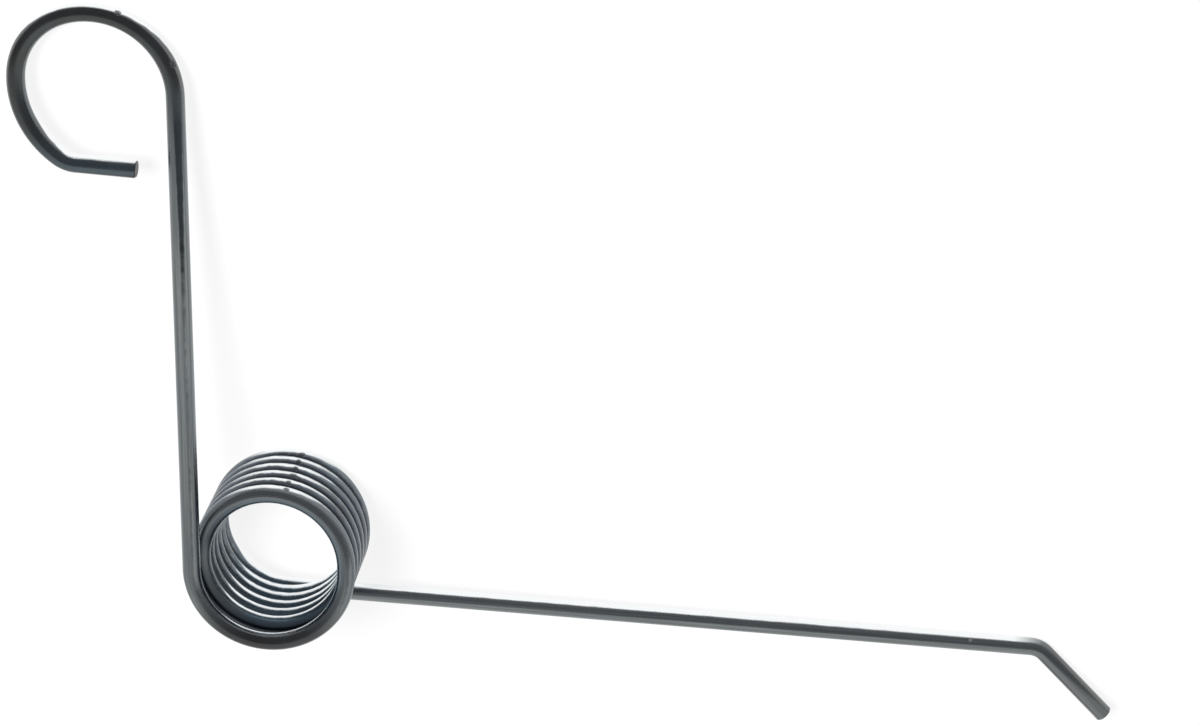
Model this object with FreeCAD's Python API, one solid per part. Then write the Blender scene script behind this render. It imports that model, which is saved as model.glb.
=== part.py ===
import FreeCAD, Part
import math
import os

# Spring tine: one length of round spring wire.
# From its top end it makes a hook, a straight upper arm, a close-wound coil,
# a straight tine and a short bent tip. Lengths are millimetres, angles degrees.
# It is bent up round an upright coil, and then laid down as it comes to rest.

# the wire
WIRE_DIAMETER = 4.0
END_CHAMFER = 0.3

# the coil, by its centre line
COIL_RADIUS = 16.3
COIL_PITCH = 4.08
COIL_TURNS = 5.75
FIRST_TURN_RADIUS = 17.0
FIRST_TURN_DROP = 1.3
TINE_ANGLE = 2.4

# the upper arm and its hook, in the order in which they leave the coil
ARM_LENGTH = 110.0
HOOK_START_RADIUS = 17.8
HOOK_START_SWEEP = 105.7
HOOK_TOP_RADIUS = 15.3
HOOK_TOP_SWEEP = 70.2
HOOK_SIDE_RADIUS = 20.6
HOOK_SIDE_SWEEP = 57.4
HOOK_BEND_RADIUS = 6.8
HOOK_BEND_SWEEP = 34.1
HOOK_END_LENGTH = 13.0

# the tine and its tip
TINE_LENGTH = 168.0
TIP_BEND_RADIUS = 5.0
TIP_BEND_SWEEP = 43.6
TIP_LENGTH = 20.5

# the coil is a chain of tangent arcs, this many to a turn
ARCS_PER_TURN = 12

# how finely the centre line is sampled to find how the wire lies
REST_SAMPLES = 1200
REST_ROLLS_AT_MOST = 200

WIRE_RADIUS = WIRE_DIAMETER / 2.0
TURNED = COIL_TURNS - TINE_ANGLE / 360.0
ARC_COUNT = math.ceil(TURNED * ARCS_PER_TURN)
HALF_ARC_LENGTH = COIL_RADIUS * math.tan(math.pi * TURNED / ARC_COUNT)
LEAD = COIL_PITCH * TURNED / (2.0 * HALF_ARC_LENGTH * ARC_COUNT)
ORIGIN = FreeCAD.Vector(0, 0, 0)
UP = FreeCAD.Vector(0, 0, 1)


def unit(vector):
    """The direction of a vector."""
    return vector * (1.0 / vector.Length)


def rounded(start, corner, end):
    """The arc that touches the line from start to corner and the line from corner to end."""
    middle = (start + end) * 0.5
    cosine = (start - middle).Length / (start - corner).Length
    return Part.Arc(start, middle + (corner - middle) * (cosine / (1.0 + cosine)), end).toShape()


def coil_arcs(centre, radius, from_angle, turns, count, high):
    """A stretch of coil as tangent arcs, going down counterclockwise, and its lower end's height."""
    step = 360.0 * turns / count
    fall = 2.0 * radius * math.tan(math.radians(step / 2.0)) * LEAD
    corner_radius = radius / math.cos(math.radians(step / 2.0))

    def place(steps, distance):
        angle = math.radians(from_angle + steps * step)
        outwards = FreeCAD.Vector(math.cos(angle), math.sin(angle), 0)
        return centre + outwards * distance + UP * (high - steps * fall)

    arcs = []
    for k in range(count):
        arcs.append(rounded(place(k, radius), place(k + 0.5, corner_radius), place(k + 1, radius)))
    return arcs, high - count * fall


def straight(start, direction, length):
    """A straight run, and the point where it ends."""
    end = start + direction * length
    return Part.makeLine(start, end), end


def bend(start, direction, side, radius, sweep):
    """An arc that turns towards side, with the point, direction and side at its end."""
    centre = start + side * radius
    half = math.radians(sweep / 2.0)
    full = math.radians(sweep)
    middle = centre - side * (radius * math.cos(half)) + direction * (radius * math.sin(half))
    end = centre - side * (radius * math.cos(full)) + direction * (radius * math.sin(full))
    new_direction = direction * math.cos(full) + side * math.sin(full)
    new_side = side * math.cos(full) - direction * math.sin(full)
    return Part.Arc(start, middle, end).toShape(), end, new_direction, new_side


def route():
    """The centre line, bent up round the upright coil."""
    # The first half turn is looser and hangs lower. A short straight run joins it to the coil.
    first_centre = FreeCAD.Vector(COIL_RADIUS - FIRST_TURN_RADIUS, -FIRST_TURN_DROP, 0)
    half_turn_arcs = ARCS_PER_TURN // 2
    half_turn, joint_height = coil_arcs(first_centre, FIRST_TURN_RADIUS, 180.0, 0.5, half_turn_arcs, 0.0)
    joint_start = FreeCAD.Vector(COIL_RADIUS, -FIRST_TURN_DROP, joint_height)
    joint, joint_end = straight(joint_start, FreeCAD.Vector(0, 1, -LEAD), FIRST_TURN_DROP)
    coil, tine_height = coil_arcs(ORIGIN, COIL_RADIUS, 0.0, TURNED, ARC_COUNT, joint_end.z)

    # The upper arm leaves the first turn along its tangent, and ends in the hook.
    arm_start = first_centre + FreeCAD.Vector(-FIRST_TURN_RADIUS, 0, 0)
    heading = unit(FreeCAD.Vector(0, 1, LEAD))
    side = FreeCAD.Vector(-1, 0, 0)
    arm, place = straight(arm_start, heading, ARM_LENGTH)
    hook = []
    for radius, sweep in (
        (HOOK_START_RADIUS, HOOK_START_SWEEP),
        (HOOK_TOP_RADIUS, HOOK_TOP_SWEEP),
        (HOOK_SIDE_RADIUS, HOOK_SIDE_SWEEP),
        (HOOK_BEND_RADIUS, HOOK_BEND_SWEEP),
    ):
        arc, place, heading, side = bend(place, heading, side, radius, sweep)
        hook.append(arc)
    hook_end, place = straight(place, heading, HOOK_END_LENGTH)
    hook.append(hook_end)

    # The tine leaves the last turn along its tangent, and its tip bends away from the arm.
    angle = math.radians(360.0 * TURNED)
    tine_start = FreeCAD.Vector(math.cos(angle), math.sin(angle), 0) * COIL_RADIUS + UP * tine_height
    heading = unit(FreeCAD.Vector(-math.sin(angle), math.cos(angle), -LEAD))
    tine, place = straight(tine_start, heading, TINE_LENGTH)
    side = unit(heading.cross(UP))
    tip_bend, place, heading, side = bend(place, heading, side, TIP_BEND_RADIUS, TIP_BEND_SWEEP)
    tip, place = straight(place, heading, TIP_LENGTH)

    edges = hook + [arm] + half_turn + [joint] + coil + [tine, tip_bend, tip]
    return Part.Wire(Part.__sortEdges__(edges))


def is_rim(edge, centre):
    """Whether an edge is the circle round one end of the wire."""
    return edge.Closed and (edge.BoundBox.Center - centre).Length < WIRE_RADIUS / 10.0


def mean(points):
    """The middle of evenly spaced points, which is where the wire's weight acts."""
    return sum(points, FreeCAD.Vector()) * (1.0 / len(points))


def roll(points, pivot, axis):
    """Turns the points about a level axis until one more is as low as the pivot. Gives that one too."""
    lowered_side = axis.cross(UP)
    least = math.pi / 2.0
    touching = None
    for index, point in enumerate(points):
        reach = (point - pivot).dot(lowered_side)
        angle = math.atan2(point.z - pivot.z, reach)
        if reach > WIRE_RADIUS and angle < least:
            least = angle
            touching = index
    turn = FreeCAD.Rotation(axis, math.degrees(least))
    return [pivot + turn.multVec(point - pivot) for point in points], turn, touching


def outside(place, first, second, inner):
    """Whether a place and the inner point are on different sides of the line from first to second."""
    across = unit(second - first).cross(UP)
    return (place - first).dot(across) * (inner - first).dot(across) < 0.0


def resting_turn(points):
    """The rotation that lays the points on three of them, with their mean above those three."""
    first = min(range(len(points)), key=lambda index: points[index].z)
    away = mean(points) - points[first]
    axis = unit(UP.cross(away))
    points, turn, second = roll(points, points[first], axis)
    for _ in range(REST_ROLLS_AT_MOST):
        pivot = points[first]
        axis = unit(points[second] - pivot)
        if (mean(points) - pivot).dot(axis.cross(UP)) < 0.0:
            axis = axis * -1.0
        points, next_turn, third = roll(points, pivot, axis)
        turn = next_turn.multiply(turn)
        if outside(mean(points), points[first], points[third], points[second]):
            second = third
        elif outside(mean(points), points[second], points[third], points[first]):
            first = third
        else:
            break
    return turn


def spring_tine():
    """The finished wire at rest on the floor, with the middle of its footprint over the origin."""
    path = route()
    first_edge = path.OrderedEdges[0]
    start = path.OrderedVertexes[0].Point
    section = Part.makeCircle(WIRE_RADIUS, start, first_edge.tangentAt(first_edge.FirstParameter))
    wire = path.makePipe(Part.Face(Part.Wire(section)))
    points = path.discretize(Number=REST_SAMPLES)
    ends = [edge for edge in wire.Edges if is_rim(edge, points[0]) or is_rim(edge, points[-1])]
    wire = wire.makeChamfer(END_CHAMFER, ends).Solids[0]
    wire.Placement = FreeCAD.Placement(ORIGIN, resting_turn(points)).multiply(wire.Placement)
    box = wire.optimalBoundingBox()
    wire.translate(FreeCAD.Vector(-box.Center.x, -box.Center.y, -box.ZMin))
    return wire


os.makedirs("parts", exist_ok=True)
spring_tine().exportStep("parts/spring_tine.step")
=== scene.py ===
import math

import bpy
import numpy as np
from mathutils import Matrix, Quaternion, Vector


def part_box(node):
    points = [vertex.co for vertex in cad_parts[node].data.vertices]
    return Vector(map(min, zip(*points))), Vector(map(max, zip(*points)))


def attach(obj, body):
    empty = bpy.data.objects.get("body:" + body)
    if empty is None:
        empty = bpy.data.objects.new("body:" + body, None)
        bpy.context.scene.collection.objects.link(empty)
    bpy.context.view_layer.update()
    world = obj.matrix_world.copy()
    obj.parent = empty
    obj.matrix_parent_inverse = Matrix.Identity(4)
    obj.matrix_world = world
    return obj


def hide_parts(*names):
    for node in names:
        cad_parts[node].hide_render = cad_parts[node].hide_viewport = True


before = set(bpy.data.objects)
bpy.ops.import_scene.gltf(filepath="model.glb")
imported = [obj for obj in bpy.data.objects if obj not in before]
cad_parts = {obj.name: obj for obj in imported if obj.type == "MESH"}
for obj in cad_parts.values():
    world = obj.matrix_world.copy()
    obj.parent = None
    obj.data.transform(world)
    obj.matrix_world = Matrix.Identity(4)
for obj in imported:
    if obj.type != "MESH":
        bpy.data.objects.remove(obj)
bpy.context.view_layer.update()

bl_info = {
    "name": "Spring Tine",
    "version": (1, 0, 0),
    "blender": (4, 5, 0),
    "location": "View3D > Sidebar > Spring Tine",
    "description": "A zinc-plated spring tine bent from one wire, lying on a pale studio floor",
    "category": "Object",
}

MM = 0.001
NODE = "spring_tine"
UP = Vector((0, 0, 1))

# the camera that sees the lying tine as the photograph does, and the width of its frame in pixels
IMAGE_WIDTH = 1200
CAMERA_FOCAL_PIXELS = 3839.3
CAMERA_PLACE = (0.08648, 0.49723, 0.66597)
CAMERA_TURN = (-36.5276, 6.7922, -0.3999)
CAMERA_CLIP_START = 10.0 * MM

# places on the path that are nearer than this are one place
PLACE_GAP = 0.01 * MM
# a bend has at least this many rings
FEWEST_RINGS = 3
# the faces on the wire's sides have fewer corners than this, and its cut ends have more
MOST_SIDE_CORNERS = 4.5
REST_ROLLS_AT_MOST = 200

# what places a stretch of coil in the tree, each as a name and a type
STRETCH_INPUTS = (
    ("Centre", "NodeSocketVector"),
    ("Corner Distance", "NodeSocketFloat"),
    ("From Angle", "NodeSocketFloat"),
    ("Step Angle", "NodeSocketFloat"),
    ("Fall", "NodeSocketFloat"),
    ("Count", "NodeSocketInt"),
    ("First Order", "NodeSocketInt"),
    ("Bend Radius", "NodeSocketFloat"),
    ("Bend Rings", "NodeSocketInt"),
)

# the finish is laid on in layers. A span is where a layer sets in and where it is full
NOISE_SPAN = (0.3, 0.7)

# the drawing lines, and the wider ones among them
LINE_WIDTH = 0.32 * MM
LINE_SHORTENING = 0.012
WIDE_LINE_FINENESS = 0.3
WIDE_LINE_SHARE = 0.45
TONE_SPAN = (0.42, 0.62)

# the patches, and the pits
PATCH_SIZE = 15.0 * MM
GRAIN_FINENESS = 60.0
PIT_SPAN = (0.62, 0.74)
PIT_DEPTH = 0.5

# along the wire, from the end of the hook at the arm, from the cut end, and from the bend of the tip
HOOK_SPAN = (22.0 * MM, -6.0 * MM)
HOOK_SHARE = 0.9
CUT_SPAN = (26.0 * MM, 14.0 * MM)
CUT_SHARE = 0.4
TIP_SPAN = (-2.0 * MM, 5.0 * MM)
TIP_SHARE = 0.9
TIP_DARK_SHARE = 0.26

# in the coil, in wire radii: up or down from the wire's middle, where the grooves between the turns get
# painted shade, and outwards from it
COIL_FADE = 2.0 * MM
GROOVE_SPAN = (0.16, 0.38)
GROOVE_WANDER = 0.12
GROOVE_SHADE_SHARE = 0.95
INNER_SPAN = (0.2, -0.6)
OUTER_SPAN = (0.0, 0.3)

# across the coil, in coil radii: the low side, and the far and the near side, each painted darker as shade
LOW_SIDE_SHADE_SPAN = (-0.55, -0.97)
LOW_SIDE_SHADE_SHARE = 0.9
FAR_SPAN = (-0.30, -0.80)
NEAR_SPAN = (0.30, 0.90)
NEAR_SHARE = 0.28
LEAST_OUTER_SHARE = 0.25
OUTER_DARK_SHARE = 0.75
INNER_FAR_SHARE = 0.85

# blue in the patches and inside the coil
BLUE_SPAN = (0.35, 0.75)
BLUE_SHARE = 0.25
INNER_BLUE_SHARE = 0.7

# by how far the surface faces a side, from one towards it to minus one away from it, for the painted shade on
# the sides, the clean back and the painted highlight
SIDE_SHADE_SPAN = (0.74, 0.67)
SIDE_SHADE_WIDER_AT_ENDS = 0.07
UNSHADED_BACK_SPAN = (0.25, 0.08)
HIGHLIGHT_SPAN = (0.40, 0.54)
HIGHLIGHT_WANDER = 0.05
HIGHLIGHT_NARROWER_IN_COIL = 0.19
HIGHLIGHT_WIDER_INSIDE = 0.16

# the painted highlight ends at the tip's bend, and fades in the painted shade of the grooves and of the
# coil's dark sides
HIGHLIGHT_END_SPAN = (2.0 * MM, -4.0 * MM)
HIGHLIGHT_SHARE = 0.97
HIGHLIGHT_OUTER_SPAN = (0.9, 0.25)

# small dark dented spots, one on each turn: the angle round the coil, the height in wire radii, and the size
NICK_ANGLE = 1.396
NICK_HEIGHT = 0.26
NICK_SPAN = (0.36, 0.24)
NICK_SHARE = 0.85

# a painted dark reflection narrows down the upper arm from the hook: its length, and the facing of its first
# edge
ARM_REFLECTION_LENGTH = 52.0 * MM
ARM_REFLECTION_REACH = 0.885
ARM_REFLECTION_START_SPAN = (-5.0 * MM, 5.0 * MM)
ARM_REFLECTION_SPAN = (-0.01, 0.035)
ARM_REFLECTION_SHARE = 0.95
ARM_REFLECTION_WANDER = 0.012

# marks of the bending tool on the hook, from the cut end, and the side that they are on
HOOK_MARKS = ((67.4 * MM, (0.12, 0.84, 0.52)), (82.0 * MM, (0.72, 0.42, 0.55)))
HOOK_MARK_REACH = 0.8 * MM
# a chip in the bright side of the tine, this far before the bend of the tip
CHIP_BEFORE_TIP = 13.6 * MM
CHIP_SIDE = (0.0, 0.60, 0.80)
CHIP_REACH = 0.6 * MM
# the edge of a mark, and its wander, in reaches
MARK_SPAN = (1.0, 0.8)
MARK_WANDER = 0.3

# roughness, and the depth of the dents in drawing lines
PATCH_ROUGHNESS = 0.10
DULL_SPAN = (0.62, 0.38)
DULL_ROUGHNESS = 0.10
HIGHLIGHT_SMOOTHNESS = 0.06
GROOVE_ROUGHNESS = 0.12
NICK_ROUGHNESS = 0.3
NICK_DEPTH = 6.0
CHIP_DEPTH = 3.0

# the sheared ends
SHEAR_STRETCH = 14.0
BARE_SPAN = (0.40, 0.62)
CUT_ROUGHNESS = (0.38, 0.52)
SHEAR_DEPTH = 0.05 * MM

FLOOR_SIDES = 96
# where the studio's grey wall ends and its dark side begins
DARK_SIDE_SPAN = (-0.17, -0.09)
WALL_TINT = (0.98, 1.0, 0.995)
DARK_TINT = (0.95, 0.98, 1.05)


class WireSizes(bpy.types.PropertyGroup):
    """The sizes that the wire is bent to"""

    wire_diameter: bpy.props.FloatProperty(
        name="Wire Diameter", description="Diameter of the spring wire",
        default=4.0 * MM, min=1.0 * MM, unit="LENGTH", precision=5)
    end_chamfer: bpy.props.FloatProperty(
        name="End Chamfer", description="Chamfer round each cut end of the wire",
        default=0.3 * MM, min=0.05 * MM, unit="LENGTH", precision=5)
    coil_radius: bpy.props.FloatProperty(
        name="Coil Radius", description="Radius of the coil at the middle of the wire",
        default=16.3 * MM, min=4.0 * MM, unit="LENGTH", precision=5)
    coil_pitch: bpy.props.FloatProperty(
        name="Coil Pitch", description="Rise from one turn of the coil to the next",
        default=4.08 * MM, min=1.0 * MM, unit="LENGTH", precision=5)
    coil_turns: bpy.props.FloatProperty(
        name="Coil Turns", description="Turns of the close-wound part of the coil",
        default=5.75, min=0.75)
    bends_per_turn: bpy.props.IntProperty(
        name="Bends per Turn", description="Tangent bends that make up one turn of the coil",
        default=12, min=6)
    first_turn_radius: bpy.props.FloatProperty(
        name="First Turn Radius", description="Radius of the looser half turn that carries the arm",
        default=17.0 * MM, min=4.0 * MM, unit="LENGTH", precision=5)
    first_turn_drop: bpy.props.FloatProperty(
        name="First Turn Drop", description="How much lower the looser half turn hangs",
        default=1.3 * MM, min=0.1 * MM, unit="LENGTH", precision=5)
    tine_angle: bpy.props.FloatProperty(
        name="Tine Angle", description="How far short of a right angle to the arm the tine leaves the coil",
        default=math.radians(2.4), subtype="ANGLE")
    arm_length: bpy.props.FloatProperty(
        name="Arm Length", description="Straight length of the upper arm",
        default=110.0 * MM, min=5.0 * MM, unit="LENGTH", precision=5)
    hook_radii: bpy.props.FloatVectorProperty(
        name="Hook Radii", description="Radii of the hook's four bends, from the arm to the cut end",
        size=4, default=(17.8 * MM, 15.3 * MM, 20.6 * MM, 6.8 * MM), unit="LENGTH", precision=5)
    hook_sweeps: bpy.props.FloatVectorProperty(
        name="Hook Sweeps", description="How far each of the hook's four bends turns",
        size=4, default=[math.radians(a) for a in (105.7, 70.2, 57.4, 34.1)], unit="ROTATION")
    hook_end_length: bpy.props.FloatProperty(
        name="Hook End Length", description="Straight length at the hook's cut end",
        default=13.0 * MM, min=1.0 * MM, unit="LENGTH", precision=5)
    tine_length: bpy.props.FloatProperty(
        name="Tine Length", description="Straight length of the tine",
        default=168.0 * MM, min=5.0 * MM, unit="LENGTH", precision=5)
    tip_bend_radius: bpy.props.FloatProperty(
        name="Tip Bend Radius", description="Radius of the bend between the tine and its tip",
        default=5.0 * MM, min=2.5 * MM, unit="LENGTH", precision=5)
    tip_bend_sweep: bpy.props.FloatProperty(
        name="Tip Bend Sweep", description="How far the tip is bent away from the tine",
        default=math.radians(43.6), subtype="ANGLE")
    tip_length: bpy.props.FloatProperty(
        name="Tip Length", description="Straight length of the tip",
        default=20.5 * MM, min=1.0 * MM, unit="LENGTH", precision=5)
    sides: bpy.props.IntProperty(
        name="Sides", description="Facets round the wire", default=48, min=8)
    bend_step: bpy.props.FloatProperty(
        name="Bend Step", description="Largest angle between two rings in a bend",
        default=math.radians(3.0), subtype="ANGLE")


class WireFinish(bpy.types.PropertyGroup):
    """The colours and the polish of the zinc plating, with its painted highlight, painted shade and painted
    dark reflection
    """

    zinc_colour: bpy.props.FloatVectorProperty(
        name="Zinc Colour", description="Bright zinc plating",
        subtype="COLOR", size=3, default=(0.54, 0.555, 0.555), min=0.0, max=1.0)
    dull_colour: bpy.props.FloatVectorProperty(
        name="Dull Colour", description="Greyer zinc between the bright streaks",
        subtype="COLOR", size=3, default=(0.335, 0.35, 0.355), min=0.0, max=1.0)
    tint_colour: bpy.props.FloatVectorProperty(
        name="Tint Colour", description="Blue passivation that lies thicker inside the coil",
        subtype="COLOR", size=3, default=(0.27, 0.37, 0.44), min=0.0, max=1.0)
    cut_colour: bpy.props.FloatVectorProperty(
        name="Cut Colour", description="Sheared steel under the plating at the cut ends",
        subtype="COLOR", size=3, default=(0.05, 0.051, 0.052), min=0.0, max=1.0)
    # painted shade on the wire's sides and underside
    flank_colour: bpy.props.FloatVectorProperty(
        name="Flank Colour", description="Thin, grey zinc on the wire's sides and underside",
        subtype="COLOR", size=3, default=(0.19, 0.20, 0.205), min=0.0, max=1.0)
    # darker zinc on the hook and the tip, and also painted shade on the coil's low side and on the sides near
    # the ends
    hook_and_shade_colour: bpy.props.FloatVectorProperty(
        name="Hook Colour", description="Darker zinc on the hook",
        subtype="COLOR", size=3, default=(0.123, 0.118, 0.112), min=0.0, max=1.0)
    # painted highlight along one side of the wire, and the bright chip on the tine
    burnished_colour: bpy.props.FloatVectorProperty(
        name="Burnished Colour", description="Plating that is rubbed bright along one side",
        subtype="COLOR", size=3, default=(0.93, 0.95, 0.96), min=0.0, max=1.0)
    # the side that the painted highlight faces
    burnished_side: bpy.props.FloatVectorProperty(
        name="Burnished Side", description="The side of the upright coil that is rubbed bright",
        subtype="DIRECTION", size=3, default=(-0.07, 0.93, -0.37))
    # painted shade in the grooves between the turns and on the coil's far and near sides
    painted_shade_colour: bpy.props.FloatVectorProperty(
        name="Groove Colour", description="Thin, dark plating in the grooves between the turns",
        subtype="COLOR", size=3, default=(0.09, 0.101, 0.121), min=0.0, max=1.0)
    # small dark dented spots on each turn of the coil, and marks on the hook
    nick_colour: bpy.props.FloatVectorProperty(
        name="Nick Colour", description="Bare steel where the coiling tool marked each turn",
        subtype="COLOR", size=3, default=(0.10, 0.105, 0.11), min=0.0, max=1.0)
    # the side that carries the painted shade, the painted dark reflection and the darker tones; away from it
    # the clean zinc comes back
    shaded_side: bpy.props.FloatVectorProperty(
        name="Worn Side", description="The side of the upright coil that is tarnished",
        subtype="DIRECTION", size=3, default=(0.15, 0.39, 0.91))
    # the side away from which the wire's sides are painted darker as shade
    unshaded_side: bpy.props.FloatVectorProperty(
        name="Face Side", description="The side of the upright coil where the zinc is thickest",
        subtype="DIRECTION", size=3, default=(0.075, 0.075, 0.994))
    # painted dark reflection on the face of the upper arm
    stain_colour: bpy.props.FloatVectorProperty(
        name="Stain Colour", description="Dark stain on the face of the upper arm",
        subtype="COLOR", size=3, default=(0.055, 0.06, 0.066), min=0.0, max=1.0)
    # the side on which the painted dark reflection lies
    stain_side: bpy.props.FloatVectorProperty(
        name="Stain Side", description="The side of the upright coil on which the upper arm is stained",
        subtype="DIRECTION", size=3, default=(0.36, 0.0, 0.93))
    roughness: bpy.props.FloatProperty(
        name="Roughness", description="Roughness of the plating at its brightest",
        subtype="FACTOR", default=0.17, min=0.0, max=1.0)
    streak_depth: bpy.props.FloatProperty(
        name="Streak Depth", description="Depth of the lengthwise drawing lines",
        default=0.008 * MM, unit="LENGTH", precision=6)


class StageLook(bpy.types.PropertyGroup):
    """The floor and the studio light"""

    floor_glow: bpy.props.FloatProperty(
        name="Floor Glow", description="Light that the floor adds to the lamp's, to look white",
        default=0.85, min=0.0, max=1.0)
    floor_radius: bpy.props.FloatProperty(
        name="Floor Radius", description="Radius of the round floor",
        default=12.0, min=1.0, unit="LENGTH")
    lamp_power: bpy.props.FloatProperty(
        name="Lamp Power", description="Power of the soft lamp overhead",
        default=44.0, min=0.0, unit="POWER")
    lamp_size: bpy.props.FloatProperty(
        name="Lamp Size", description="Width of the soft lamp",
        default=0.7, min=0.05, unit="LENGTH")
    lamp_place: bpy.props.FloatVectorProperty(
        name="Lamp Place", description="Where the soft lamp hangs",
        subtype="TRANSLATION", size=3, default=(-0.45, 0.95, 1.6))
    wall_light: bpy.props.FloatProperty(
        name="Wall Light", description="Brightness of the studio behind the coil",
        default=0.46, min=0.0)
    dark_light: bpy.props.FloatProperty(
        name="Dark Light", description="Brightness of the studio on the camera's side",
        default=0.15, min=0.0)


# helpers for node trees

def give(tree, socket, value):
    """Links an input to a socket, or sets it to a value."""
    if isinstance(value, bpy.types.NodeSocket):
        tree.links.new(value, socket)
    else:
        socket.default_value = value


def add_node(tree, kind, inputs=None, **settings):
    """A node with its settings, and its inputs as values or as sockets to link."""
    node = tree.nodes.new(kind)
    for name, value in settings.items():
        setattr(node, name, value)
    for name, value in (inputs or {}).items():
        give(tree, node.inputs[name], value)
    return node


def math_node(tree, operation, first, second=0.0):
    """The result of an operation on two numbers or sockets."""
    return add_node(tree, "ShaderNodeMath", {0: first, 1: second}, operation=operation).outputs[0]


def plus(tree, total, *others):
    """The sum of numbers or sockets."""
    for other in others:
        total = math_node(tree, "ADD", total, other)
    return total


def times(tree, product, *others):
    """The product of numbers or sockets."""
    for other in others:
        product = math_node(tree, "MULTIPLY", product, other)
    return product


def minus(tree, first, second):
    """The difference of two numbers or sockets."""
    return math_node(tree, "SUBTRACT", first, second)


def combine(tree, x, y, z=0.0):
    """A vector from numbers or sockets."""
    return add_node(tree, "ShaderNodeCombineXYZ", {"X": x, "Y": y, "Z": z}).outputs[0]


def separate(tree, vector):
    """The parts of a vector, as X, Y and Z."""
    return add_node(tree, "ShaderNodeSeparateXYZ", {"Vector": vector}).outputs


def vector_node(tree, operation, *vectors):
    """A vector operation, with its outputs as Vector and Value."""
    return add_node(tree, "ShaderNodeVectorMath", dict(enumerate(vectors)), operation=operation).outputs


def new_group(name, kind, inputs, outputs):
    """An empty node group with its input and output nodes. Each socket is a name and a type."""
    group = bpy.data.node_groups.new(name, kind)
    for in_out, sockets in (("INPUT", inputs), ("OUTPUT", outputs)):
        for label, socket_type in sockets:
            group.interface.new_socket(name=label, in_out=in_out, socket_type=socket_type)
    return group, group.nodes.new("NodeGroupInput").outputs, group.nodes.new("NodeGroupOutput").inputs


def store(tree, geometry, name, value, data_type="FLOAT"):
    """The geometry with a value kept on its points under a name."""
    node = add_node(
        tree, "GeometryNodeStoreNamedAttribute",
        {"Geometry": geometry, "Name": name}, data_type=data_type, domain="POINT")
    give(tree, node.inputs["Value"], value)
    return node.outputs["Geometry"]


def read(tree, name, data_type="FLOAT"):
    """A value that is kept on the geometry under a name."""
    return add_node(tree, "GeometryNodeInputNamedAttribute", {"Name": name}, data_type=data_type).outputs[0]


# the wire's path

def coil_steps(sizes):
    """The turns that the coil turns through, and how many bends they are made of."""
    turned = sizes.coil_turns - sizes.tine_angle / math.tau
    return turned, math.ceil(turned * sizes.bends_per_turn)


def coil_lead(sizes):
    """How far the coil falls for each length that it goes round."""
    turned, count = coil_steps(sizes)
    round_length = 2.0 * sizes.coil_radius * math.tan(math.pi * turned / count) * count
    return sizes.coil_pitch * turned / round_length


def coil_bend(radius, step, lead):
    """How far the coil's corners are from its axis, how far each is under the last, and their bend radius."""
    corner_distance = radius / math.cos(step / 2.0)
    half_edge = radius * math.tan(step / 2.0)
    fall = 2.0 * half_edge * lead
    run = Vector((math.cos(step), math.sin(step), -lead)).normalized()
    turn = Vector((1.0, 0.0, -lead)).normalized().angle(run)
    reach = half_edge * math.hypot(1.0, lead)
    return corner_distance, fall, reach / math.tan(turn / 2.0)


def corners_of(start, heading, side, bends, end_length):
    """The corners of a run of bends in one plane, each with a bend radius and a sweep, and the run's end."""
    corners = []
    for straight, radius, sweep in bends:
        reach = radius * math.tan(sweep / 2.0)
        corner = start + heading * (straight + reach)
        corners.append((corner, radius, sweep))
        new_heading = heading * math.cos(sweep) + side * math.sin(sweep)
        side = side * math.cos(sweep) - heading * math.sin(sweep)
        heading = new_heading
        start = corner + heading * reach
    return corners, start + heading * end_length, heading


def steps_of(sweep, step):
    """How many rings a bend needs."""
    return max(FEWEST_RINGS, math.ceil(sweep / step))


def arm_corners(sizes):
    """The corners of the hook and the upper arm, from the cut end to the coil."""
    lead = coil_lead(sizes)
    start = Vector((sizes.coil_radius - 2.0 * sizes.first_turn_radius, -sizes.first_turn_drop, 0.0))
    heading = Vector((0, 1, lead)).normalized()
    straights = (sizes.arm_length, 0.0, 0.0, 0.0)
    bends = list(zip(straights, sizes.hook_radii, sizes.hook_sweeps))
    side = Vector((-1, 0, 0))
    corners, end, last_heading = corners_of(start, heading, side, bends, sizes.hook_end_length)
    corners.reverse()
    return [(end, 0.0, 0.0), (end - last_heading * sizes.end_chamfer, 0.0, 0.0)] + corners


def tine_corners(sizes, height):
    """The corners of the tine and its tip, from the coil, which ends at the given height, to the cut end."""
    angle = math.tau * coil_steps(sizes)[0]
    start = Vector((math.cos(angle), math.sin(angle), 0.0)) * sizes.coil_radius + UP * height
    heading = Vector((-math.sin(angle), math.cos(angle), -coil_lead(sizes))).normalized()
    side = heading.cross(UP).normalized()
    bends = [(sizes.tine_length, sizes.tip_bend_radius, sizes.tip_bend_sweep)]
    corners, end, last_heading = corners_of(start, heading, side, bends, sizes.tip_length)
    return corners + [(end - last_heading * sizes.end_chamfer, 0.0, 0.0), (end, 0.0, 0.0)]


def corner_mesh(sizes, before, after, first_after):
    """The corners on both sides of the coil as loose points that carry their bends and their order."""
    corners = before + after
    orders = list(range(len(before))) + list(range(first_after, first_after + len(after)))
    mesh = bpy.data.meshes.new("arm_corners")
    mesh.from_pydata([corner[0] for corner in corners], [], [])
    slim = 1.0 - 2.0 * sizes.end_chamfer / sizes.wire_diameter
    values = {
        "order": ("INT", orders),
        "bend_radius": ("FLOAT", [corner[1] for corner in corners]),
        "bend_rings": ("INT", [steps_of(corner[2], sizes.bend_step) for corner in corners]),
        "thickness": ("FLOAT", [slim] + [1.0] * (len(corners) - 2) + [slim]),
    }
    for name, (kind, data) in values.items():
        mesh.attributes.new(name, kind, "POINT").data.foreach_set("value", data)
    return mesh


# the tree that adds the coil and sweeps the wire

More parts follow.
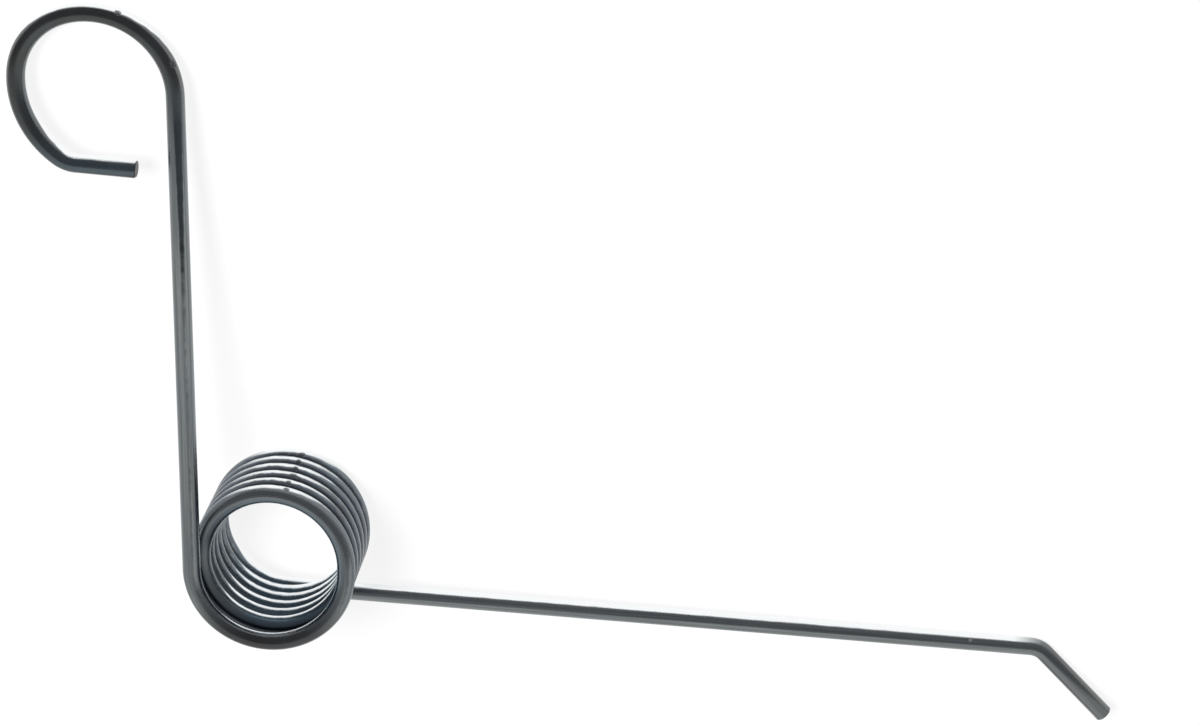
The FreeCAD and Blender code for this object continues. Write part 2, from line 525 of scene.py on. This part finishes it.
def coil_corner_group():
    """Corners down a stretch of coil, counterclockwise."""
    tree, given, result = new_group(
        "Coil Corners", "GeometryNodeTree", STRETCH_INPUTS, [("Points", "NodeSocketGeometry")])
    index = add_node(tree, "GeometryNodeInputIndex").outputs[0]
    steps = plus(tree, index, 0.5)
    angle = plus(tree, given["From Angle"], times(tree, steps, given["Step Angle"]))
    across = times(tree, math_node(tree, "COSINE", angle), given["Corner Distance"])
    along = times(tree, math_node(tree, "SINE", angle), given["Corner Distance"])
    down = times(tree, steps, given["Fall"], -1.0)
    place = vector_node(tree, "ADD", combine(tree, across, along, down), given["Centre"])["Vector"]
    points = add_node(
        tree, "GeometryNodePoints", {"Count": given["Count"], "Position": place}).outputs[0]
    points = store(tree, points, "order", plus(tree, index, given["First Order"]), "INT")
    points = store(tree, points, "bend_radius", given["Bend Radius"])
    points = store(tree, points, "bend_rings", given["Bend Rings"], "INT")
    points = store(tree, points, "thickness", 1.0)
    tree.links.new(points, result["Points"])
    return tree


def rounded_path(tree, corners):
    """The corners joined in their order and rounded, with the distance along kept on the path."""
    order = read(tree, "order", "INT")
    path = add_node(tree, "GeometryNodePointsToCurves", {"Points": corners, "Weight": order}).outputs[0]
    bends = {"Count": read(tree, "bend_rings", "INT"), "Radius": read(tree, "bend_radius")}
    path = add_node(
        tree, "GeometryNodeFilletCurve",
        {"Curve": path, "Limit Radius": False, **bends}, mode="POLY").outputs[0]
    index = add_node(tree, "GeometryNodeInputIndex").outputs[0]
    place = add_node(tree, "GeometryNodeInputPosition").outputs[0]
    last_place = add_node(
        tree, "GeometryNodeFieldAtIndex", {"Index": minus(tree, index, 1.0), "Value": place},
        data_type="FLOAT_VECTOR", domain="POINT").outputs[0]
    step = vector_node(tree, "DISTANCE", place, last_place)["Value"]
    repeated = math_node(tree, "LESS_THAN", step, PLACE_GAP)
    path = add_node(
        tree, "GeometryNodeDeleteGeometry", {"Geometry": path, "Selection": repeated},
        domain="POINT").outputs[0]
    return store(tree, path, "along", add_node(tree, "GeometryNodeSplineParameter").outputs["Length"])


def wire_tree():
    """Adds the coil's corners to the arms' corners, rounds them all and sweeps the wire along them."""
    coil_group = coil_corner_group()
    inputs = [
        ("Corners", "NodeSocketGeometry"),
        ("Wire Diameter", "NodeSocketFloat"),
        ("Sides", "NodeSocketInt"),
        ("Wire Material", "NodeSocketMaterial"),
        ("Cut Material", "NodeSocketMaterial"),
    ]
    for stretch in ("First Turn", "Coil"):
        inputs += [(f"{stretch} {label}", kind) for label, kind in STRETCH_INPUTS]
    tree, given, result = new_group(
        "Spring Wire", "GeometryNodeTree", inputs, [("Wire", "NodeSocketGeometry")])

    corners = add_node(tree, "GeometryNodeJoinGeometry")
    for stretch in ("Coil", "First Turn"):
        coil = add_node(tree, "GeometryNodeGroup", node_tree=coil_group)
        for label, _ in STRETCH_INPUTS:
            tree.links.new(given[f"{stretch} {label}"], coil.inputs[label])
        tree.links.new(coil.outputs["Points"], corners.inputs[0])
    arms = add_node(tree, "GeometryNodeMeshToPoints", {"Mesh": given["Corners"]}).outputs[0]
    tree.links.new(arms, corners.inputs[0])
    path = rounded_path(tree, corners.outputs[0])

    place = add_node(tree, "GeometryNodeInputPosition").outputs[0]
    radius = times(tree, given["Wire Diameter"], 0.5)
    section = add_node(
        tree, "GeometryNodeCurvePrimitiveCircle", {"Resolution": given["Sides"], "Radius": radius},
        mode="RADIUS").outputs["Curve"]
    section = store(tree, section, "round_place", place, "FLOAT_VECTOR")
    thickness = read(tree, "thickness")
    wire = add_node(
        tree, "GeometryNodeCurveToMesh",
        {"Curve": path, "Profile Curve": section, "Scale": thickness, "Fill Caps": True}).outputs[0]
    wire = store(tree, wire, "bent_place", place, "FLOAT_VECTOR")
    normal = add_node(tree, "GeometryNodeInputNormal").outputs[0]
    wire = store(tree, wire, "bent_facing", normal, "FLOAT_VECTOR")
    corner_count = add_node(tree, "GeometryNodeInputMeshFaceNeighbors").outputs["Vertex Count"]
    is_cut = math_node(tree, "GREATER_THAN", corner_count, MOST_SIDE_CORNERS)
    is_side = math_node(tree, "LESS_THAN", corner_count, MOST_SIDE_CORNERS)
    for kind, values in (
        ("GeometryNodeSetShadeSmooth", {"Shade Smooth": is_side}),
        ("GeometryNodeRealizeInstances", {}),
        ("GeometryNodeSetMaterial", {"Material": given["Wire Material"]}),
        ("GeometryNodeSetMaterial", {"Selection": is_cut, "Material": given["Cut Material"]}),
    ):
        wire = add_node(tree, kind, {"Geometry": wire, **values}).outputs[0]
    tree.links.new(wire, result["Wire"])
    return tree


def stretch_values(stretch, sizes, centre, radius, from_angle, step, count, first_order):
    """The values of the tree's inputs for one stretch of coil."""
    distance, fall, bend = coil_bend(radius, step, coil_lead(sizes))
    rings = steps_of(step, sizes.bend_step)
    values = (centre, distance, from_angle, step, fall, count, first_order, bend, rings)
    return {f"{stretch} {label}": value for (label, _), value in zip(STRETCH_INPUTS, values)}


def swept_wire(sizes, wire_material, cut_material):
    """The wire as a plain mesh, bent up round an upright coil."""
    lead = coil_lead(sizes)
    turned, count = coil_steps(sizes)
    step = math.tau * turned / count
    half_count = sizes.bends_per_turn // 2
    half_step = math.pi / half_count
    first_radius = sizes.first_turn_radius
    first_centre = (sizes.coil_radius - first_radius, -sizes.first_turn_drop, 0.0)
    first_fall = coil_bend(first_radius, half_step, lead)[1]
    coil_centre = (0.0, 0.0, -half_count * first_fall - lead * sizes.first_turn_drop)
    fall = coil_bend(sizes.coil_radius, step, lead)[1]

    before = arm_corners(sizes)
    after = tine_corners(sizes, coil_centre[2] - count * fall)
    first_order = len(before)
    coil_order = first_order + half_count
    values = {
        "Wire Diameter": sizes.wire_diameter,
        "Sides": sizes.sides,
        "Wire Material": wire_material,
        "Cut Material": cut_material,
        **stretch_values(
            "First Turn", sizes, first_centre, first_radius, math.pi, half_step, half_count, first_order),
        **stretch_values("Coil", sizes, coil_centre, sizes.coil_radius, 0.0, step, count, coil_order),
    }
    corners = corner_mesh(sizes, before, after, coil_order + count)
    holder = bpy.data.objects.new("spring_wire_path", corners)
    bpy.context.scene.collection.objects.link(holder)
    modifier = holder.modifiers.new("Spring Wire", "NODES")
    tree = wire_tree()
    modifier.node_group = tree
    for item in tree.interface.items_tree:
        if item.in_out == "INPUT" and item.name in values:
            modifier[item.identifier] = values[item.name]
    bpy.context.view_layer.update()
    evaluated = holder.evaluated_get(bpy.context.evaluated_depsgraph_get())
    mesh = bpy.data.meshes.new_from_object(evaluated)
    mesh.name = "spring_wire"
    holder.modifiers.remove(modifier)
    bpy.data.objects.remove(holder)
    return mesh


# how the wire lies

def roll(points, pivot, axis, reach_from):
    """Turns the points about a level axis until one more is as low as the pivot. Gives that one too."""
    lowered_side = np.array(Vector(axis).cross(UP))
    offsets = points - pivot
    reach = offsets @ lowered_side
    angles = np.where(reach > reach_from, np.arctan2(offsets[:, 2], reach), math.pi)
    touching = int(angles.argmin())
    turn = Quaternion(axis, angles[touching])
    return pivot + offsets @ np.array(turn.to_matrix()).T, turn, touching


def outside(place, first, second, inner):
    """Whether a place and the inner point are on different sides of the line from first to second."""
    across = np.array(Vector(second - first).cross(UP))
    return (place - first) @ across * ((inner - first) @ across) < 0.0


def resting_turn(points, wire_radius):
    """The rotation that lays a centre line on three of its points, with its weight above those three."""
    runs = np.diff(points, axis=0)
    lengths = np.linalg.norm(runs, axis=1)

    def weight_place(line):
        middles = (line[1:] + line[:-1]) / 2.0
        return (middles * lengths[:, None]).sum(axis=0) / lengths.sum()

    first = int(points[:, 2].argmin())
    away = Vector(weight_place(points) - points[first])
    axis = UP.cross(away).normalized()
    points, turn, second = roll(points, points[first].copy(), axis, wire_radius)
    for _ in range(REST_ROLLS_AT_MOST):
        pivot = points[first].copy()
        axis = Vector(points[second] - pivot).normalized()
        if (weight_place(points) - pivot) @ np.array(axis.cross(UP)) < 0.0:
            axis.negate()
        points, next_turn, third = roll(points, pivot, axis, wire_radius)
        turn = next_turn @ turn
        if outside(weight_place(points), points[first], points[third], points[second]):
            second = third
        elif outside(weight_place(points), points[second], points[third], points[first]):
            first = third
        else:
            break
    return turn


def lay_down(mesh, sizes):
    """Turns the wire to how it comes to rest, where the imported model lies."""
    places = np.empty(len(mesh.vertices) * 3, np.float32)
    mesh.vertices.foreach_get("co", places)
    places = places.reshape(-1, 3).astype(float)
    rings = places.reshape(-1, sizes.sides, 3).mean(axis=1)
    turn = resting_turn(rings, sizes.wire_diameter / 2.0)
    places = places @ np.array(turn.to_matrix()).T
    low, high = (np.array(corner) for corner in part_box(NODE))
    middle = (places.min(axis=0) + places.max(axis=0)) / 2.0
    shift = np.array([*((low + high) / 2.0 - middle)[:2], low[2] - places[:, 2].min()])
    mesh.vertices.foreach_set("co", (places + shift).astype(np.float32).ravel())
    mesh.update()


# helpers for the finish

def ranged(tree, value, span, to=(0.0, 1.0), unit=1.0, origin=0.0):
    """A value taken from one span to another and kept inside it. The first is in units from an origin."""
    low, high = (origin + unit * end for end in span)
    return add_node(
        tree, "ShaderNodeMapRange",
        {"Value": value, "From Min": low, "From Max": high, "To Min": to[0], "To Max": to[1]}).outputs[0]


def noise(tree, place, fineness, detail, roughness=0.5):
    """A noise over places, with the given number of grains to the metre."""
    inputs = {"Vector": place, "Scale": fineness, "Detail": detail, "Roughness": roughness}
    return add_node(tree, "ShaderNodeTexNoise", inputs).outputs["Fac"]


def ragged(tree, kept, fineness, reach, detail=3.0):
    """A shift that changes over the wire, by up to the reach either way."""
    return ranged(tree, noise(tree, kept["bent_place"], fineness, detail), NOISE_SPAN, (-reach, reach))


def mix_colours(tree, share, first, second):
    """A colour between two colours or sockets, with the given share of the second."""
    node = add_node(tree, "ShaderNodeMix", data_type="RGBA")
    give(tree, node.inputs[0], share)
    for socket, colour in ((node.inputs[6], first), (node.inputs[7], second)):
        give(tree, socket, colour if isinstance(colour, bpy.types.NodeSocket) else (*colour, 1.0))
    return node.outputs[2]


def facing(tree, kept, side):
    """How far the surface faces one side of the bent wire: one towards it, and minus one away from it."""
    return vector_node(tree, "DOT_PRODUCT", kept["bent_facing"], Vector(side).normalized())["Value"]


def between(tree, along, start, end):
    """One from start to end along the wire, and nothing before and after."""
    fade = (-COIL_FADE, COIL_FADE)
    return times(
        tree, ranged(tree, along, fade, origin=start), ranged(tree, along, fade, unit=-1.0, origin=end))


def empty_tree(owner):
    """The emptied node tree of a material or a world."""
    owner.use_nodes = True
    owner.node_tree.nodes.clear()
    return owner.node_tree


def new_material(name):
    """An empty material with its output linked to a Principled shader."""
    material = bpy.data.materials.new(name)
    tree = empty_tree(material)
    shader = tree.nodes.new("ShaderNodeBsdfPrincipled")
    output = tree.nodes.new("ShaderNodeOutputMaterial")
    tree.links.new(shader.outputs[0], output.inputs["Surface"])
    return material, tree, shader


def bump(tree, shader, height, distance):
    """Gives the shader a bump of the given depth."""
    node = add_node(tree, "ShaderNodeBump", {"Height": height, "Distance": distance, "Strength": 1.0})
    tree.links.new(node.outputs[0], shader.inputs["Normal"])


def wire_coordinates(tree):
    """What is kept on the wire: distance along, place round, and place and facing when bent up."""
    kept = {}
    for name in ("along", "round_place", "bent_place", "bent_facing"):
        output = "Fac" if name == "along" else "Vector"
        kept[name] = add_node(tree, "ShaderNodeAttribute", attribute_name=name).outputs[output]
    return kept


# the plating

def plating_group():
    """Zinc over drawn wire: a tone between dull and bright, patches, and a height with lines and pits."""
    tree, given, result = new_group(
        "Drawn Wire Plating", "ShaderNodeTree",
        [
            ("Along", "NodeSocketFloat"),
            ("Round", "NodeSocketVector"),
            ("Place", "NodeSocketVector"),
            ("Line Width", "NodeSocketFloat"),
            ("Patch Size", "NodeSocketFloat"),
        ],
        [("Tone", "NodeSocketFloat"), ("Patches", "NodeSocketFloat"), ("Height", "NodeSocketFloat")])
    split = separate(tree, given["Round"])
    drawn = combine(tree, split["X"], split["Y"], times(tree, given["Along"], LINE_SHORTENING))
    fineness = math_node(tree, "DIVIDE", 1.0, given["Line Width"])
    fine_lines = noise(tree, drawn, fineness, detail=3.0, roughness=0.6)
    wide_lines = noise(tree, drawn, times(tree, fineness, WIDE_LINE_FINENESS), detail=2.0)
    fineness = math_node(tree, "DIVIDE", 1.0, given["Patch Size"])
    patches = noise(tree, given["Place"], fineness, detail=5.0, roughness=0.62)
    grain = noise(tree, given["Place"], times(tree, fineness, GRAIN_FINENESS), detail=2.0)
    pits = ranged(tree, grain, PIT_SPAN)
    tone = plus(
        tree, times(tree, fine_lines, 1.0 - WIDE_LINE_SHARE), times(tree, wide_lines, WIDE_LINE_SHARE))
    height = minus(tree, tone, times(tree, pits, PIT_DEPTH))
    for name, value in (("Tone", tone), ("Patches", patches), ("Height", height)):
        tree.links.new(value, result[name])
    return tree


def plating(tree, group, kept, line_width, patch_size):
    """The plating group with this material's sizes."""
    node = add_node(tree, "ShaderNodeGroup", node_tree=group)
    for name, value in (
        ("Along", kept["along"]), ("Round", kept["round_place"]), ("Place", kept["bent_place"]),
        ("Line Width", line_width), ("Patch Size", patch_size),
    ):
        give(tree, node.inputs[name], value)
    return node.outputs


def coil_reach(sizes):
    """How far along the wire the coil starts and ends, from the hook's cut end."""
    slope = math.hypot(1.0, coil_lead(sizes))
    hook = sizes.hook_end_length + sum(r * a for r, a in zip(sizes.hook_radii, sizes.hook_sweeps))
    start = hook + sizes.arm_length
    around = math.pi * sizes.first_turn_radius + math.tau * sizes.coil_radius * coil_steps(sizes)[0]
    return start, start + (around + sizes.first_turn_drop) * slope


def coil_masks(tree, kept, sizes):
    """The coil's grooves, inner side, nicks and low side, and its far side in and out, with painted shade in
    the grooves, on the low side and on the far and near sides.
    """
    radius = sizes.wire_diameter / 2.0
    coil_radius = sizes.coil_radius
    along = kept["along"]
    start, end = coil_reach(sizes)
    one_turn = math.tau * coil_radius
    in_coil = between(tree, along, start, end)
    split = separate(tree, kept["bent_place"])
    wander = ragged(tree, kept, fineness=500.0, reach=GROOVE_WANDER * radius)

    fallen = times(tree, minus(tree, along, start), coil_lead(sizes))
    height = plus(tree, split["Z"], fallen, wander)
    # painted shade in the grooves, above and below the wire's middle
    above = ranged(tree, height, GROOVE_SPAN, unit=radius)
    above = times(tree, above, between(tree, along, start + one_turn, end))
    below = ranged(tree, height, GROOVE_SPAN, unit=-radius)
    below = times(tree, below, between(tree, along, start, end - one_turn))

    from_axis = vector_node(tree, "LENGTH", combine(tree, split["X"], split["Y"]))["Value"]
    inner = ranged(tree, from_axis, INNER_SPAN, unit=radius, origin=coil_radius)
    inner = times(tree, inner, in_coil)
    outer = ranged(tree, from_axis, OUTER_SPAN, unit=radius, origin=coil_radius)

    angle = math_node(tree, "ARCTAN2", split["Y"], split["X"])
    sideways = plus(tree, times(tree, minus(tree, angle, NICK_ANGLE), coil_radius), wander)
    upwards = minus(tree, height, NICK_HEIGHT * radius)
    from_nick = vector_node(tree, "LENGTH", combine(tree, sideways, upwards))["Value"]
    nick = ranged(tree, from_nick, NICK_SPAN, unit=radius)

    # painted shade on the coil's low side, and on its far and near sides
    low_side = ranged(tree, split["Y"], LOW_SIDE_SHADE_SPAN, (0.0, LOW_SIDE_SHADE_SHARE), unit=coil_radius)
    far_side = ranged(tree, split["X"], FAR_SPAN, unit=coil_radius)
    far_shade = ranged(tree, split["X"], FAR_SPAN, (LEAST_OUTER_SHARE, 1.0), unit=coil_radius)
    near_shade = ranged(tree, split["X"], NEAR_SPAN, (0.0, NEAR_SHARE), unit=coil_radius)
    return {
        "groove_shade": math_node(tree, "MAXIMUM", above, below),
        "inner": inner,
        "nick": times(tree, nick, outer, in_coil),
        "low_side_shade": times(tree, low_side, in_coil),
        "inner_far_shade": times(tree, inner, far_side),
        "outer_side_shade": times(tree, outer, plus(tree, far_shade, near_shade), in_coil),
        "in_coil": in_coil,
    }


def burnished(tree, kept, masks, tip, finish):
    """Where a highlight is painted, along one side of the wire as far as the bend of the tip."""
    shaken = ragged(tree, kept, fineness=260.0, reach=HIGHLIGHT_WANDER)
    towards = plus(tree, facing(tree, kept, finish.burnished_side), shaken)
    narrowed = minus(
        tree, times(tree, masks["in_coil"], HIGHLIGHT_NARROWER_IN_COIL),
        times(tree, masks["inner"], HIGHLIGHT_WIDER_INSIDE))
    return times(
        tree,
        ranged(tree, minus(tree, towards, narrowed), HIGHLIGHT_SPAN),
        ranged(tree, kept["along"], HIGHLIGHT_END_SPAN, origin=tip),
        ranged(tree, masks["groove_shade"], (1.0, 0.0), (0.0, HIGHLIGHT_SHARE)),
        ranged(tree, masks["outer_side_shade"], HIGHLIGHT_OUTER_SPAN))


def stained(tree, kept, hook_length, finish):
    """A painted dark reflection along the face of the upper arm, widest at the hook and gone part-way to the
    coil.
    """
    edge = ranged(
        tree, kept["along"], (0.0, ARM_REFLECTION_LENGTH), (ARM_REFLECTION_REACH, 1.0), origin=hook_length)
    edge = plus(tree, edge, ragged(tree, kept, fineness=420.0, reach=ARM_REFLECTION_WANDER))
    inside = minus(tree, facing(tree, kept, finish.stain_side), edge)
    stain = ranged(tree, inside, ARM_REFLECTION_SPAN, (0.0, ARM_REFLECTION_SHARE))
    return times(tree, stain, ranged(tree, kept["along"], ARM_REFLECTION_START_SPAN, origin=hook_length))


def mark(tree, kept, sizes, place, side, reach):
    """A small ragged mark on one side of the wire, at a place along it."""
    ahead = minus(tree, kept["along"], place)
    turned = times(tree, minus(tree, 1.0, facing(tree, kept, side)), 2.0)
    sideways = times(tree, math_node(tree, "SQRT", turned), sizes.wire_diameter / 2.0)
    off = vector_node(tree, "LENGTH", combine(tree, ahead, sideways))["Value"]
    off = plus(tree, off, ragged(tree, kept, fineness=1500.0, reach=MARK_WANDER * reach, detail=2.0))
    return ranged(tree, off, MARK_SPAN, unit=reach)


def wire_masks(tree, kept, sizes, finish):
    """Where each layer of the finish lies, by the layer's name."""
    masks = coil_masks(tree, kept, sizes)
    along = kept["along"]
    coil_start, coil_end = coil_reach(sizes)
    hook_length = coil_start - sizes.arm_length
    tip = coil_end + sizes.tine_length
    masks["hook"] = ranged(tree, along, HOOK_SPAN, (0.0, HOOK_SHARE), origin=hook_length)
    masks["cut"] = ranged(tree, along, CUT_SPAN, (0.0, CUT_SHARE))
    masks["tip"] = ranged(tree, along, TIP_SPAN, (0.0, TIP_SHARE), origin=tip)
    masks["ends"] = math_node(tree, "MAXIMUM", masks["hook"], masks["tip"])
    towards_face = minus(
        tree, facing(tree, kept, finish.unshaded_side), times(tree, masks["ends"], SIDE_SHADE_WIDER_AT_ENDS))
    # painted shade on the sides that turn away from one side, wider at the hook and the tip
    masks["flank"] = ranged(tree, towards_face, SIDE_SHADE_SPAN)
    # where clean zinc comes back, without the painted shade, on the side turned away
    masks["sheltered"] = ranged(tree, facing(tree, kept, finish.shaded_side), UNSHADED_BACK_SPAN)
    masks["stain"] = stained(tree, kept, hook_length, finish)
    # painted highlight along one side
    masks["burnished"] = burnished(tree, kept, masks, tip, finish)
    for place, side in HOOK_MARKS:
        hook_mark = mark(tree, kept, sizes, place, side, HOOK_MARK_REACH)
        masks["nick"] = math_node(tree, "MAXIMUM", masks["nick"], hook_mark)
    masks["chip"] = mark(tree, kept, sizes, tip - CHIP_BEFORE_TIP, CHIP_SIDE, CHIP_REACH)
    return masks


def zinc_colour(tree, coat, masks, finish):
    """The colour of the plating, laid on in layers from the clean zinc to the newest marks, with painted
    shade, a painted dark reflection and a painted highlight among them.
    """
    clean = mix_colours(tree, ranged(tree, coat["Tone"], TONE_SPAN), finish.dull_colour, finish.zinc_colour)
    flank_colour = mix_colours(tree, masks["ends"], finish.flank_colour, finish.hook_and_shade_colour)
    inner_far_shade_colour = mix_colours(tree, masks["groove_shade"], finish.painted_shade_colour, finish.dull_colour)
    patchy_blue = ranged(tree, coat["Patches"], BLUE_SPAN, (0.0, BLUE_SHARE))
    blue = math_node(tree, "MAXIMUM", patchy_blue, times(tree, masks["inner"], INNER_BLUE_SHARE))
    outer_side_shade = times(tree, masks["outer_side_shade"], masks["flank"], OUTER_DARK_SHARE)
    colour = clean
    for share, layer in (
        (masks["hook"], finish.hook_and_shade_colour),
        (masks["cut"], finish.tint_colour),
        (times(tree, masks["tip"], TIP_DARK_SHARE), finish.hook_and_shade_colour),
        (masks["flank"], flank_colour),
        (masks["low_side_shade"], finish.hook_and_shade_colour),
        (masks["stain"], finish.stain_colour),
        (outer_side_shade, finish.painted_shade_colour),
        (masks["sheltered"], clean),
        (times(tree, masks["groove_shade"], GROOVE_SHADE_SHARE), finish.painted_shade_colour),
        (blue, finish.tint_colour),
        (times(tree, masks["inner_far_shade"], INNER_FAR_SHARE), inner_far_shade_colour),
        (masks["burnished"], finish.burnished_colour),
        (times(tree, masks["nick"], NICK_SHARE), finish.nick_colour),
        (masks["chip"], finish.burnished_colour),
    ):
        colour = mix_colours(tree, share, colour, layer)
    return colour


def zinc_material(group, sizes, finish):
    """Zinc plating on drawn wire: a painted highlight on one side, bluer inside the coil and painted shade in
    its grooves.
    """
    material, tree, shader = new_material("zinc_plated_wire")
    kept = wire_coordinates(tree)
    coat = plating(tree, group, kept, LINE_WIDTH, PATCH_SIZE)
    masks = wire_masks(tree, kept, sizes, finish)
    tree.links.new(zinc_colour(tree, coat, masks, finish), shader.inputs["Base Color"])
    shader.inputs["Metallic"].default_value = 1.0
    patchy = ranged(
        tree, coat["Patches"], NOISE_SPAN, (finish.roughness, finish.roughness + PATCH_ROUGHNESS))
    roughness = plus(
        tree,
        patchy,
        ranged(tree, coat["Tone"], DULL_SPAN, (0.0, DULL_ROUGHNESS)),
        times(tree, masks["burnished"], -HIGHLIGHT_SMOOTHNESS),
        times(tree, masks["groove_shade"], GROOVE_ROUGHNESS),
        times(tree, masks["nick"], NICK_ROUGHNESS))
    tree.links.new(roughness, shader.inputs["Roughness"])
    dents = plus(tree, times(tree, masks["nick"], NICK_DEPTH), times(tree, masks["chip"], CHIP_DEPTH))
    bump(tree, shader, minus(tree, coat["Height"], dents), finish.streak_depth)
    return material


def cut_material(group, finish):
    """The sheared end of the wire, with steel showing through thin zinc."""
    material, tree, shader = new_material("sheared_wire_end")
    kept = wire_coordinates(tree)
    coat = plating(tree, group, kept, line_width=0.5 * MM, patch_size=2.0 * MM)
    split = separate(tree, kept["round_place"])
    slant = combine(tree, times(tree, split["X"], SHEAR_STRETCH), split["Y"])
    shear = noise(tree, slant, fineness=700.0, detail=4.0)
    colour = mix_colours(tree, ranged(tree, shear, BARE_SPAN), finish.hook_and_shade_colour, finish.cut_colour)
    tree.links.new(colour, shader.inputs["Base Color"])
    shader.inputs["Metallic"].default_value = 1.0
    tree.links.new(ranged(tree, coat["Patches"], NOISE_SPAN, CUT_ROUGHNESS), shader.inputs["Roughness"])
    bump(tree, shader, plus(tree, shear, times(tree, coat["Height"], 0.5)), SHEAR_DEPTH)
    return material


# the stage

def floor_material(look):
    """Pale floor: white to the camera and in the metal, and darker where the lamp is kept off it."""
    material = bpy.data.materials.new("studio_floor")
    tree = empty_tree(material)
    ray = add_node(tree, "ShaderNodeLightPath").outputs
    mirrored = math_node(tree, "MAXIMUM", ray["Is Glossy Ray"], ray["Is Transmission Ray"])
    seen = math_node(tree, "MAXIMUM", ray["Is Camera Ray"], mirrored)
    glow = times(tree, seen, look.floor_glow)
    shine = add_node(tree, "ShaderNodeEmission", {"Strength": glow}).outputs[0]
    matt = add_node(tree, "ShaderNodeBsdfDiffuse", {"Color": minus(tree, 1.0, glow)}).outputs[0]
    both = add_node(tree, "ShaderNodeAddShader", {0: shine, 1: matt}).outputs[0]
    add_node(tree, "ShaderNodeOutputMaterial", {"Surface": both})
    return material


def build_floor(look):
    """A round floor that reaches past every view."""
    angles = [math.tau * k / FLOOR_SIDES for k in range(FLOOR_SIDES)]
    ring = [(look.floor_radius * math.cos(a), look.floor_radius * math.sin(a), 0.0) for a in angles]
    mesh = bpy.data.meshes.new("studio_floor")
    mesh.from_pydata(ring, [], [range(FLOOR_SIDES)])
    mesh.materials.append(floor_material(look))
    floor = bpy.data.objects.new("studio_floor", mesh)
    bpy.context.scene.collection.objects.link(floor)


def build_world(look):
    """A dim studio: grey behind the coil, and darker on the side that the camera looks from."""
    world = bpy.data.worlds.new("studio")
    tree = empty_tree(world)
    direction = add_node(tree, "ShaderNodeTexCoord").outputs["Generated"]
    towards_camera = ranged(tree, separate(tree, direction)["Y"], DARK_SIDE_SPAN)
    wall = tuple(look.wall_light * part for part in WALL_TINT)
    dark = tuple(look.dark_light * part for part in DARK_TINT)
    colour = mix_colours(tree, towards_camera, wall, dark)
    light = add_node(tree, "ShaderNodeBackground", {"Color": colour}).outputs[0]
    add_node(tree, "ShaderNodeOutputWorld", {"Surface": light})
    bpy.context.scene.world = world


def build_lamp(look):
    """One large soft lamp overhead, which the metal doesn't show."""
    light = bpy.data.lights.new("soft_lamp", "AREA")
    light.shape = "DISK"
    light.size = look.lamp_size
    light.energy = look.lamp_power
    lamp = bpy.data.objects.new("soft_lamp", light)
    lamp.location = look.lamp_place
    lamp.rotation_euler = (-lamp.location).to_track_quat("-Z", "Y").to_euler()
    lamp.visible_glossy = False
    bpy.context.scene.collection.objects.link(lamp)


def build_camera():
    """The camera of the photograph, over the lying tine."""
    data = bpy.data.cameras.new("photo_camera")
    data.lens = CAMERA_FOCAL_PIXELS * data.sensor_width / IMAGE_WIDTH
    data.clip_start = CAMERA_CLIP_START
    camera = bpy.data.objects.new("photo_camera", data)
    camera.location = CAMERA_PLACE
    camera.rotation_euler = [math.radians(angle) for angle in CAMERA_TURN]
    bpy.context.scene.collection.objects.link(camera)
    bpy.context.scene.camera = camera


class TINE_OT_bend_wire(bpy.types.Operator):
    """Bend the spring wire, lay it down and plate it"""

    bl_idname = "tine.bend_wire"
    bl_label = "Bend the Wire"

    def execute(self, context):
        sizes = context.scene.tine_sizes
        finish = context.scene.tine_finish
        group = plating_group()
        mesh = swept_wire(sizes, zinc_material(group, sizes, finish), cut_material(group, finish))
        if len(mesh.vertices) % sizes.sides:
            raise RuntimeError("the swept wire has a broken ring")
        lay_down(mesh, sizes)
        wire = bpy.data.objects.new("spring_wire", mesh)
        context.scene.collection.objects.link(wire)
        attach(wire, "root")
        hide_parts(NODE)
        return {"FINISHED"}


class TINE_OT_set_stage(bpy.types.Operator):
    """Set the floor, the studio light and the camera"""

    bl_idname = "tine.set_stage"
    bl_label = "Set the Stage"

    def execute(self, context):
        look = context.scene.tine_stage
        build_floor(look)
        build_world(look)
        build_lamp(look)
        build_camera()
        context.scene.view_settings.view_transform = "Standard"
        return {"FINISHED"}


class TINE_PT_panel(bpy.types.Panel):
    """Lists the sizes, the finish and the steps"""

    bl_idname = "TINE_PT_panel"
    bl_label = "Spring Tine"
    bl_space_type = "VIEW_3D"
    bl_region_type = "UI"
    bl_category = "Spring Tine"

    def draw(self, context):
        layout = self.layout
        for title, settings, operator in (
            ("Wire", context.scene.tine_sizes, None),
            ("Plating", context.scene.tine_finish, TINE_OT_bend_wire.bl_idname),
            ("Stage", context.scene.tine_stage, TINE_OT_set_stage.bl_idname),
        ):
            box = layout.box()
            box.label(text=title)
            for name in settings.__annotations__:
                box.prop(settings, name)
            if operator:
                box.operator(operator)


CLASSES = (WireSizes, WireFinish, StageLook, TINE_OT_bend_wire, TINE_OT_set_stage, TINE_PT_panel)


def register():
    for each in CLASSES:
        bpy.utils.register_class(each)
    bpy.types.Scene.tine_sizes = bpy.props.PointerProperty(type=WireSizes)
    bpy.types.Scene.tine_finish = bpy.props.PointerProperty(type=WireFinish)
    bpy.types.Scene.tine_stage = bpy.props.PointerProperty(type=StageLook)


def unregister():
    del bpy.types.Scene.tine_stage
    del bpy.types.Scene.tine_finish
    del bpy.types.Scene.tine_sizes
    for each in reversed(CLASSES):
        bpy.utils.unregister_class(each)


def main():
    register()
    bpy.ops.tine.bend_wire()
    bpy.ops.tine.set_stage()


if __name__ == "__main__":
    main()
